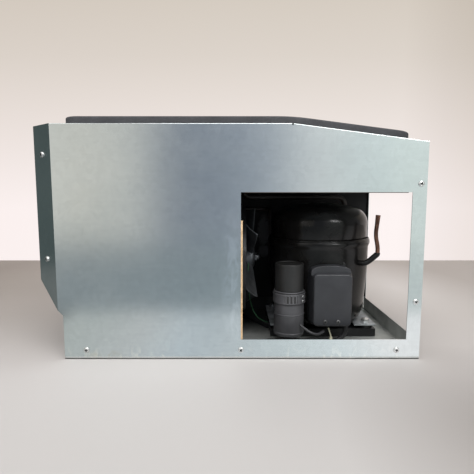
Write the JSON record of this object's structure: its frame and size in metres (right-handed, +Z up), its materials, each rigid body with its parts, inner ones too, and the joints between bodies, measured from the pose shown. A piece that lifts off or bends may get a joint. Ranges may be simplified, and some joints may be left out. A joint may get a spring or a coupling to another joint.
{
  "type": "refrigeration unit",
  "caption": "Self-contained refrigeration unit: folded metal case with a side window, compressor, condenser and fan below, gasketed evaporator chamber with a fan on top.",
  "frame": {"origin": "centre of the bounding box's footprint, on the surface that the unit stands on", "axes": "+X from the intake end to the open rear end, -Y out of the window panel, +Z up out of the gasketed chamber"},
  "size_m": [0.534, 0.2544, 0.331],
  "materials": {
    "galvanised_sheet": "galvanised sheet, soft spangle, light handling marks",
    "inner_sheet": "galvanised sheet, unbrushed inner face",
    "zinc_screws": "bright zinc-plated steel",
    "gasket_foam": "black cellular rubber, matt",
    "window_foam": "tan sealing foam",
    "insulation_foam": "cream rigid foam",
    "liner_plastic": "dark grey formed plastic",
    "fins": "thin bare aluminium fins",
    "coil_plates": "galvanised end plates",
    "copper": "drawn copper, dulled brown",
    "dark_painted_sheet": "black painted sheet",
    "fan_aluminium": "pressed aluminium, dulled",
    "motor_paint": "black satin enamel, light dust",
    "shaft_steel": "ground steel",
    "fan_plastic": "black moulded plastic",
    "compressor_enamel": "black satin enamel, light dust",
    "foot_steel": "zinc-plated steel, dusty",
    "grommet_rubber": "black rubber",
    "cover_plastic": "dark grey moulded plastic, fine grain",
    "capacitor_case": "dark grey-brown moulded case",
    "drier_copper": "drawn copper, dulled brown",
    "box_plastic": "black moulded plastic",
    "cable_jacket": "black rubber jacket",
    "tie_nylon": "natural nylon"
  },
  "bodies": {
    "unit": {"side_panel_window": "galvanised_sheet", "side_panel_plain": "galvanised_sheet", "base_tray": "galvanised_sheet", "front_panel": "galvanised_sheet", "rear_frame": "galvanised_sheet", "window_panel_screws": "zinc_screws", "plain_panel_screws": "zinc_screws", "deck_plate": "inner_sheet", "insulation_tub": "insulation_foam", "tub_liner": "liner_plastic", "top_gasket": "gasket_foam", "evaporator_fin_pack": "fins", "evaporator_end_plates": "coil_plates", "evaporator_tube_bends": "copper", "evaporator_fan_deck": "inner_sheet", "evaporator_fan_frame": "fan_plastic", "evaporator_fan_guard": "shaft_steel", "evaporator_fan_screws": "zinc_screws", "drain_tube": "fan_plastic", "condenser_fin_pack": "fins", "condenser_end_plates": "coil_plates", "condenser_tube_bends": "copper", "condenser_fan_shroud": "dark_painted_sheet", "condenser_motor_bracket": "dark_painted_sheet", "condenser_fan_motor": "motor_paint", "compressor_rails": "dark_painted_sheet", "compressor_grommets": "grommet_rubber", "compressor_feet": "foot_steel", "compressor_bolts": "zinc_screws", "compressor_lower_shell": "compressor_enamel", "compressor_upper_shell": "compressor_enamel", "terminal_cover": "cover_plastic", "terminal_cover_screws": "motor_paint", "cover_clip": "shaft_steel", "capacitor_can": "capacitor_case", "capacitor_boot": "capacitor_case", "capacitor_clamp": "dark_painted_sheet", "discharge_line": "copper", "suction_line": "copper", "liquid_line": "copper", "filter_drier": "drier_copper", "capillary_tube": "copper", "process_stub": "compressor_enamel", "process_tube": "copper", "junction_box": "box_plastic", "junction_box_lid": "box_plastic", "cable_gland": "box_plastic", "compressor_cable": "cable_jacket", "cable_tie": "tie_nylon", "compartment_lining": "gasket_foam", "window_edge_tape": "window_foam"},
    "condenser_fan": {"condenser_fan_shaft": "shaft_steel", "condenser_fan_blades": "fan_aluminium", "condenser_fan_nut": "zinc_screws"},
    "evaporator_fan": {"evaporator_fan_rotor": "fan_plastic"}
  },
  "joints": [
    {"name": "condenser_fan_spin", "type": "hinge", "parent": "unit", "child": "condenser_fan", "pos_m": [0.02, 0, 0.124], "axis": [1, 0, 0], "continuous": true},
    {"name": "evaporator_fan_spin", "type": "hinge", "parent": "unit", "child": "evaporator_fan", "pos_m": [0.098, 0, 0.28], "axis": [0, 0, 1], "continuous": true}
  ]
}
